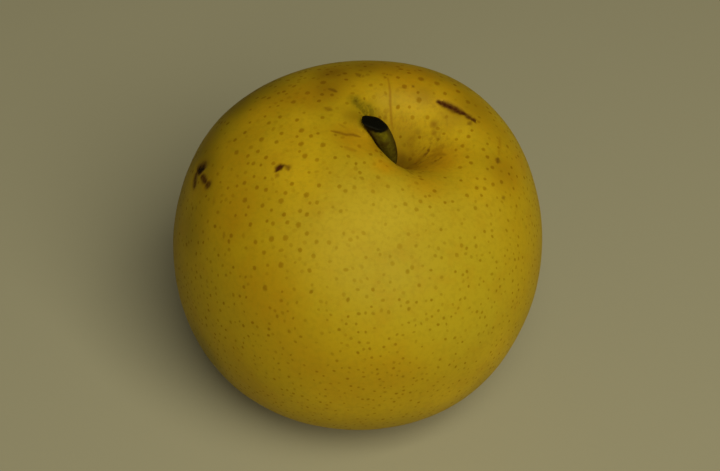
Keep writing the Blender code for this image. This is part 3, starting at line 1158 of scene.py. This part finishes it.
# %% Scatter the small ones
def scattered_points(bench, skin_geometry, from_placed):
    """Points on the skin, with the radius and the strength of a lenticel, clear of the placed ones."""
    here = bench.place()
    outward = unit(vector_gap(here, core))
    coarse_way = (seen_at(COARSE_PIXEL) - core).normalized()
    facing = dot_product(outward, coarse_way)
    coarse = ease(facing, *COARSE_FACING)
    patchy = noise(here, PATCHINESS, 1.0)
    chance = ease(patchy, 0.25, 0.7, 0.6, 1.0) * ease(coarse, 0.0, 1.0, 1.0, 0.6)
    chance = chance * ease(bench.kept("wound"), 0.0, 0.2, 1.0, 0.0)
    chance = chance * ease(from_placed, PLACED_MARGIN, 1.5 * PLACED_MARGIN)
    chance = chance * ease(bench.split(here)[2], SPOT_MARGIN, 2.0 * SPOT_MARGIN)
    sockets = {
        "Mesh": skin_geometry,
        "Distance Min": bench.ask("Least Gap", LEAST_GAP),
        "Density Max": bench.ask("Most per Area", MOST_PER_AREA),
        "Density Factor": chance,
        "Seed": bench.ask("Seed", SEED),
    }
    settings = {"distribute_method": "POISSON"}
    dots = bench.node("GeometryNodeDistributePointsOnFaces", settings, sockets)["Points"]
    fine_radius = bench.ask("Fine Radius", FINE_RADIUS)
    radius = fine_radius + (bench.ask("Coarse Radius", COARSE_RADIUS) - fine_radius) * coarse
    strength = random_number(bench, *SMALL_STRENGTHS, 1) * clearness(bench)
    strength = strength * ease(from_placed, PLACED_MARGIN, PLACED_QUIET, STRENGTH_BY_PLACED, 1.0)
    dots = bench.store(dots, "strength", strength)
    return bench.store(dots, "lens_radius", radius * random_number(bench, *SIZE_RANGE, 3))


# %% How a lens is turned
def lens_rotation(bench, normal):
    """A lens stands on the skin's normal, and is turned about it by chance."""
    upright = bench.node("FunctionNodeAlignRotationToVector", {"axis": "Z"}, {"Vector": normal})["Rotation"]
    angle = random_number(bench, 0.0, math.tau, 2)
    sideways = bench.node("FunctionNodeAxisAngleToRotation", {}, {"Angle": angle})["Rotation"]
    sockets = {"Rotation": upright, "Rotate By": sideways}
    return bench.node("FunctionNodeRotateRotation", {"rotation_space": "LOCAL"}, sockets)["Rotation"]


# %% Put a lens on every point
def grow_lenticels(skin_mesh, placed_object, material):
    bench = GeometryBench("lenticels")
    skin_geometry = bench.entry["Geometry"]
    placed = bench.points_of(bench.ask("Placed", placed_object))
    near = {"target_element": "POINTS"}
    from_placed = bench.node("GeometryNodeProximity", near, {"Geometry": placed})["Distance"]
    scattered = scattered_points(bench, skin_geometry, from_placed)

    placed = bench.node("GeometryNodeMeshToPoints", {}, {"Mesh": placed})["Points"]
    strength = random_number(bench, *PLACED_STRENGTHS, 5) * clearness(bench)
    placed = bench.store(placed, "strength", strength)
    points = bench.node("GeometryNodeJoinGeometry", {}, {"Geometry": [scattered, placed]})["Geometry"]

    settings = {"data_type": "FLOAT_VECTOR"}
    sockets = {"Mesh": skin_geometry, "Value": bench.normal()}
    normal = bench.node("GeometryNodeSampleNearestSurface", settings, sockets)["Value"]
    on_faces = {"target_element": "FACES"}
    on_skin = bench.node("GeometryNodeProximity", on_faces, {"Geometry": skin_geometry})["Position"]
    radius = bench.kept("lens_radius")
    stretch = random_number(bench, *STRETCH_RANGE, 4)
    sockets = {
        "Points": points,
        "Instance": lenticel_lens(bench),
        "Rotation": lens_rotation(bench, normal),
        "Scale": bench.join(radius * stretch, radius / stretch, radius),
    }
    lenses = bench.node("GeometryNodeInstanceOnPoints", {}, sockets)["Instances"]
    lenses = bench.change("GeometryNodeRealizeInstances", lenses)
    stand = scaled(normal, bench.kept("crown") * radius * LENS_STEEPNESS)
    lenses = bench.move(lenses, Position=vector_sum(on_skin, stand))
    bench.finish(lenses, material)
    return bench.run("lenticels", skin_mesh.copy())


# %% Finish the lenticels
def finish_lenticels(material):
    bench = shader_bench(material)
    place, colour, _ = skin_colour(bench)
    crown = kept_number(bench, "crown")
    ragged = crown + (noise(place, RAGGED_RIM) - 0.5) * RIM_RAGGEDNESS
    cork = ease(ragged, 0.0, 0.75) * ease(crown, 0.0, 0.2) * kept_number(bench, "strength")
    settings = {"data_type": "RGBA", "blend_type": "MULTIPLY"}
    brown = bench.node("ShaderNodeMix", settings, {0: 1.0, 6: colour, 7: (*LENTICEL_TINT, 1.0)})[2]
    colour = mix(cork, colour, brown)
    roughness = cork * CORK_DRYNESS + SKIN_ROUGHNESS
    lay_finish(bench, colour, roughness, noise(place, LENTICEL_GRAIN), LENTICEL_RELIEF, SHINE)


lenticel_finish = bpy.data.materials.new("corky_dots")
finish_lenticels(lenticel_finish)
lenticels = grow_lenticels(skin.data, placed_points, lenticel_finish)
bpy.data.objects.remove(placed_points)
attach(lenticels, "root")

# %% [markdown]
# ## The stalk
# The stalk is woody: thin where it leaves its seat, thicker and clubbed towards the end that was cut, with
# shallow ridges along it. Its cut end has dried black. A bevelled curve would give an even tube, so here a
# flat grid is rolled round a sampled path by a rule: one way of the grid goes round, the other goes from the
# buried foot, along the bark, over the rim and across the cut face to its middle.

# %% Sizes of the stalk
STALK_SINK = 1.0 * MM
STALK_START_PULL = Vector((0.9, -0.5, 6.25)) * MM
STALK_END_PULL = Vector((6.4, 0.1, -6.8)) * MM
STALK_TIP = Vector((-7.85, 0.25, 37.45)) * MM
STALK_RADIUS = 1.8 * MM
STALK_FOOT_SWELL = 0.2 * MM
STALK_FOOT_LENGTH = 0.16
STALK_CLUB_SWELL = 0.4 * MM
STALK_CLUB_START = 0.3
STALK_CLUB_END = 0.8
STALK_RIDGES = 5
STALK_RIDGE_HEIGHT = 0.04
STALK_CUT_SLANT = 1.0
STALK_SLANT_GROWTH = 5.0
STALK_AROUND = 72
STALK_ALONG = 170
PATH_POINTS = 60
FOOT_SHARE = 0.04
SIDE_SHARE = 0.84
BARK_ROUGHNESS = 0.22 * MM
BARK_LENGTHS = 1.4
BARK_GRAIN = 0.5
CUT_ROUGHNESS = 0.35 * MM
CUT_GRAIN = 0.4
CUT_DOME = 0.4 * MM
CUT_FULLNESS = 4.0


# %% The path and the thickness
def stalk_path(bench):
    """The bent path, from below the seat to the cut end."""
    seat = STALK_END_OFFSET + Vector((0.0, 0.0, TOP_REACH - CAVITY_DEPTH - STALK_SINK))
    start = bench.ask("Start", seat)
    tip = bench.ask("Tip", STALK_TIP)
    sockets = {
        "Resolution": PATH_POINTS,
        "Start": start,
        "Start Handle": vector_sum(start, STALK_START_PULL),
        "End Handle": vector_sum(tip, STALK_END_PULL),
        "End": tip,
    }
    return bench.node("GeometryNodeCurvePrimitiveBezierSegment", {"mode": "POSITION"}, sockets)["Curve"]


def stalk_thickness(bench, part):
    ratio = part / STALK_FOOT_LENGTH
    foot = exponential(-(ratio * ratio)) * STALK_FOOT_SWELL
    club = ease(part, STALK_CLUB_START, STALK_CLUB_END) * bench.ask("Club Swell", STALK_CLUB_SWELL)
    return bench.ask("Stalk Radius", STALK_RADIUS) + foot + club


# %% What each row of the grid makes
def shares(way):
    """How far a row is along the path, and from 0 to 1 how far the foot and the cut are open there."""
    part = smaller(larger((way - FOOT_SHARE) / SIDE_SHARE, 0.0), 1.0)
    foot_fill = smaller(way / FOOT_SHARE, 1.0)
    cut_fill = smaller((1.0 - way) / (1.0 - FOOT_SHARE - SIDE_SHARE), 1.0)
    return part, foot_fill, larger(cut_fill, 0.0)


def path_frame(bench, part):
    """The place on the path, and the two ways across it and the way along it."""
    settings = {"mode": "FACTOR"}
    path = bench.node("GeometryNodeSampleCurve", settings, {"Curves": stalk_path(bench), "Factor": part})
    tangent = path["Tangent"]
    sideways = unit(crossed((0.0, 1.0, 0.0), tangent))
    return path["Position"], sideways, crossed(tangent, sideways), tangent


# %% Roll the grid round the path
def grow_stalk(material):
    bench = GeometryBench("stalk_rule")
    sockets = {"Size X": 1.0, "Size Y": 1.0, "Vertices X": STALK_AROUND + 1, "Vertices Y": STALK_ALONG}
    grid = bench.node("GeometryNodeMeshGrid", {}, sockets)["Mesh"]
    x, y, _ = bench.split(bench.place())
    turn = (x + 0.5) * math.tau
    part, foot_fill, cut_fill = shares(y + 0.5)
    place, sideways, backways, tangent = path_frame(bench, part)

    ring_x = cosine(turn)
    ring_y = sine(turn)
    bark = grainy(bench.join(ring_x, ring_y, part * BARK_LENGTHS), BARK_GRAIN) - 0.5
    ridges = cosine(turn * float(STALK_RIDGES)) * part * STALK_RIDGE_HEIGHT
    full = stalk_thickness(bench, part) * (ridges + 1.0) + bark * bench.ask("Bark Roughness", BARK_ROUGHNESS)
    on_cut = 1.0 - cut_fill
    cut_width = 1.0 - on_cut * on_cut
    dome = root(1.0 - cut_width ** CUT_FULLNESS) * bench.ask("Cut Dome", CUT_DOME)
    radius = full * foot_fill * cut_width

    cut_grain = grainy(bench.join(ring_x * cut_fill, ring_y * cut_fill, 4.0), CUT_GRAIN) - 0.5
    slant = part ** STALK_SLANT_GROWTH * bench.ask("Cut Slant", STALK_CUT_SLANT)
    lengthwise = -(ring_x * radius * slant)
    lengthwise = lengthwise + ease(on_cut, 0.0, 0.3) * cut_grain * CUT_ROUGHNESS
    lengthwise = lengthwise + dome

    for way_out, reach in ((sideways, ring_x * radius), (backways, ring_y * radius), (tangent, lengthwise)):
        place = vector_sum(place, scaled(way_out, reach))
    tube = bench.store(bench.store(grid, "part", part), "side", ring_x)
    tube = bench.move(tube, Position=place)
    closed = bench.change("GeometryNodeMergeByDistance", tube, Distance=0.001 * MM)
    bench.finish(bench.smooth(closed), material)
    return bench.run("stalk_bark")


# %% Grow it and lay it with the fruit
stalk_finish = bpy.data.materials.new("stalk_bark")
stalk = grow_stalk(stalk_finish)
stalk.data.transform(placing @ lean_matrix())
stalk_surface = surface_of(stalk)

# %% Colours and grain of the bark
BARK_BROWN = (0.062, 0.038, 0.002)
BARK_OLIVE = (0.105, 0.088, 0.006)
BARK_GREEN = (0.150, 0.132, 0.004)
# dark brown for the fibres, and for painted shade along the stalk's sides
BARK_FIBRE_AND_EDGE_SHADE = (0.028, 0.013, 0.001)
DRIED_BLACK = (0.0035, 0.0035, 0.002)
GREEN_BARK = (((380, 134), 1.5, 1.0), ((386, 136), 1.3, 1.0), ((383, 140), 1.0, 0.6))
DARK_BARK = (((383, 144.5), 0.9, 0.8), ((387, 144), 0.8, 0.6))
BARK_MOTTLE = 1.4 * MM
BARK_FIBRE = 0.35 * MM
BARK_RELIEF = 0.12 * MM
BARK_SHINE = {"Specular IOR Level": 0.07}
FIBRE_STRENGTH = 0.3
DRIED_FROM = (0.925, 0.965)
DRIED_RAGGEDNESS = 0.07
BARK_DULLNESS, DRIED_DULLNESS = 0.75, 0.5


# %% Finish the stalk
def finish_stalk(material):
    bench = shader_bench(material)
    place = bench.node("ShaderNodeTexCoord")["Object"]
    part = kept_number(bench, "part")
    side = kept_number(bench, "side")
    mottle = grainy(place, BARK_MOTTLE)
    fine = grainy(place, BARK_FIBRE)
    colour = mix(ease(mottle, 0.3, 0.6), BARK_BROWN, BARK_OLIVE)
    colour = mix(patch_mask(place, GREEN_BARK, stalk_surface), colour, BARK_GREEN)
    colour = mix(patch_mask(place, DARK_BARK, stalk_surface), colour, BARK_BROWN)
    # painted shade: the stalk's left side, away from the lamp, and its right edge are darkened
    edge = larger(ease(side, -0.3, -0.75), ease(side, 0.7, 1.0, 0.0, 0.5))
    colour = mix(edge, colour, BARK_FIBRE_AND_EDGE_SHADE)
    colour = mix(ease(fine, 0.4, 0.75) * FIBRE_STRENGTH, colour, BARK_FIBRE_AND_EDGE_SHADE)
    colour = mix(ease(part, 0.02, 0.2, 0.7, 0.0), colour, RUSSET)
    dried = ease(part + (mottle - 0.5) * DRIED_RAGGEDNESS, *DRIED_FROM)
    colour = mix(dried, colour, DRIED_BLACK)
    roughness = ease(dried, 0.0, 1.0, BARK_DULLNESS, DRIED_DULLNESS)
    lay_finish(bench, colour, roughness, fine + mottle, BARK_RELIEF, BARK_SHINE)


finish_stalk(stalk_finish)
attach(stalk, "root")
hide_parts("stalk")
stalk_low, stalk_high = corners(stalk.data)
print("the stalk spans", [round(1000 * side, 1) for side in stalk_high - stalk_low], "mm")

# %% [markdown]
# ## Floor and light
# The pear lies on a plain pale floor. One broad soft lamp stands to the right of the camera and above it,
# so the light falls off to a deep olive on the left, as it does on the real fruit, and the room gives back
# a little from all round.

# %% A floor
FLOOR_HALF = 3.0
FLOOR_COLOUR = (0.4, 0.385, 0.33)
floor_mesh = bpy.data.meshes.new("floor")
floor_ways = ((-1, -1), (1, -1), (1, 1), (-1, 1))
floor_corners = [(FLOOR_HALF * across, FLOOR_HALF * back, 0.0) for across, back in floor_ways]
floor_mesh.from_pydata(floor_corners, [], [(0, 1, 2, 3)])
floor = bpy.data.objects.new("floor", floor_mesh)
scene.collection.objects.link(floor)
floor_finish = bpy.data.materials.new("plain_floor")
connect_shader(shader_bench(floor_finish), {"Base Color": (*FLOOR_COLOUR, 1.0), "Roughness": 0.8})
floor_mesh.materials.append(floor_finish)
floor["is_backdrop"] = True

# %% A soft lamp and a dim room
LAMP_SIZE = 1.1
LAMP_DISTANCE = 1.5
LAMP_TURN = math.radians(23)
LAMP_LIFT = math.radians(47)
LAMP_POWER = 21.5
LAMP_COLOUR = (1.0, 0.93, 0.58)
ROOM_COLOUR = (1.0, 0.93, 0.6)
ROOM_STRENGTH = 0.032

level_way = Vector((math.sin(LAMP_TURN), -math.cos(LAMP_TURN), 0.0))
lamp_way = level_way * math.cos(LAMP_LIFT) + Vector((0.0, 0.0, math.sin(LAMP_LIFT)))
lamp_data = bpy.data.lights.new("soft_lamp", "AREA")
lamp_data.size = LAMP_SIZE
lamp_data.energy = LAMP_POWER
lamp_data.color = LAMP_COLOUR
lamp = bpy.data.objects.new("soft_lamp", lamp_data)
turned = lamp_way.to_track_quat("Z", "Y").to_matrix().to_4x4()
lamp.matrix_world = Matrix.Translation(core + lamp_way * LAMP_DISTANCE) @ turned
scene.collection.objects.link(lamp)
print("the lamp stands at", [round(part, 2) for part in lamp.matrix_world.translation], "m")

world = bpy.data.worlds.new("room")
scene.world = world
world.use_nodes = True
room = world.node_tree.nodes["Background"]
room.inputs["Color"].default_value = (*ROOM_COLOUR, 1.0)
room.inputs["Strength"].default_value = ROOM_STRENGTH
scene.view_settings.view_transform = "Standard"

# %% [markdown]
# ## The size
# The fine pieces must take up the room of the plain solids, so both boxes are printed. The fine pieces must
# take up the room of the plain solids, because those are what the part is measured by.

# %% Print both boxes
visual_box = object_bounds()
boxes = {"cad": [list(corner) for corner in cad_box], "visual": [list(corner) for corner in visual_box]}
for name, (low, high) in boxes.items():
    print(name, "box in mm:", [round(1000 * part, 2) for part in (*low, *high)])
